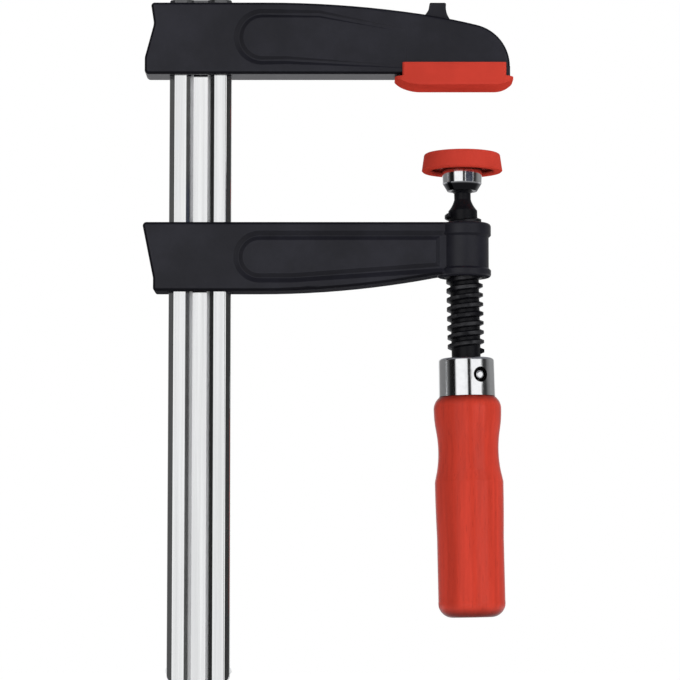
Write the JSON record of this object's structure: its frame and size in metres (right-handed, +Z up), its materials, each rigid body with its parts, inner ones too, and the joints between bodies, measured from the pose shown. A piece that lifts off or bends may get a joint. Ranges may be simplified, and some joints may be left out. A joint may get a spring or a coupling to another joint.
{
  "type": "screw clamp",
  "caption": "Bar clamp with a fixed and a sliding arm on a grooved steel rail, a threaded spindle with a swivel pressure plate, and a wooden handle.",
  "frame": {"origin": "middle of the fixed jaw's face, on the cap's underside", "axes": "+X from the rail towards the nose of the arms, +Y through the clamp away from the viewer, +Z up the rail from the sliding arm to the fixed arm"},
  "size_m": [0.1586, 0.0346, 0.293],
  "materials": {
    "rail_steel": "bright zinc-plated rolled steel bar, fine lengthwise draw lines",
    "black_casting": "black satin enamel over a fine cast surface",
    "red_plastic": "soft red moulded plastic, slight sheen",
    "black_screw": "black-oxide rolled thread, oiled",
    "seat_steel": "plain hardened steel, greased",
    "plated_steel": "bright nickel or chrome plate",
    "red_wood": "turned hardwood, red lacquer"
  },
  "bodies": {
    "bar": {"rail": "rail_steel", "fixed_arm": "black_casting", "fixed_jaw_cap": "red_plastic"},
    "slide": {"sliding_arm": "black_casting"},
    "seat": {"ball_seat": "seat_steel"},
    "screw": {"spindle": "black_screw", "ferrule": "plated_steel", "handle": "red_wood", "handle_pin": "plated_steel"},
    "pad": {"pressure_plate": "plated_steel", "pressure_plate_cap": "red_plastic"}
  },
  "joints": [
    {"name": "arm_slide", "type": "slide", "parent": "bar", "child": "slide", "axis": [0, 0, 1], "range_m": [-0.1588, 0.008]},
    {"name": "screw_feed", "type": "slide", "parent": "slide", "child": "seat", "axis": [-0.0192, 0, 0.9998], "range_m": [-0.012, 0.017]},
    {"name": "screw_turn", "type": "hinge", "parent": "seat", "child": "screw", "pos_m": [0.00348, 0, -0.04076], "axis": [-0.0192, 0, 0.9998], "range_deg": [-1080, 1530]},
    {"name": "plate_tilt", "type": "hinge", "parent": "seat", "child": "pad", "pos_m": [0.00348, 0, -0.04076], "axis": [0, 1, 0], "range_deg": [-12, 12]}
  ],
  "couplings": [
    {"joint": "screw_turn", "follows": "screw_feed", "rad_per_m": 1570.8}
  ]
}
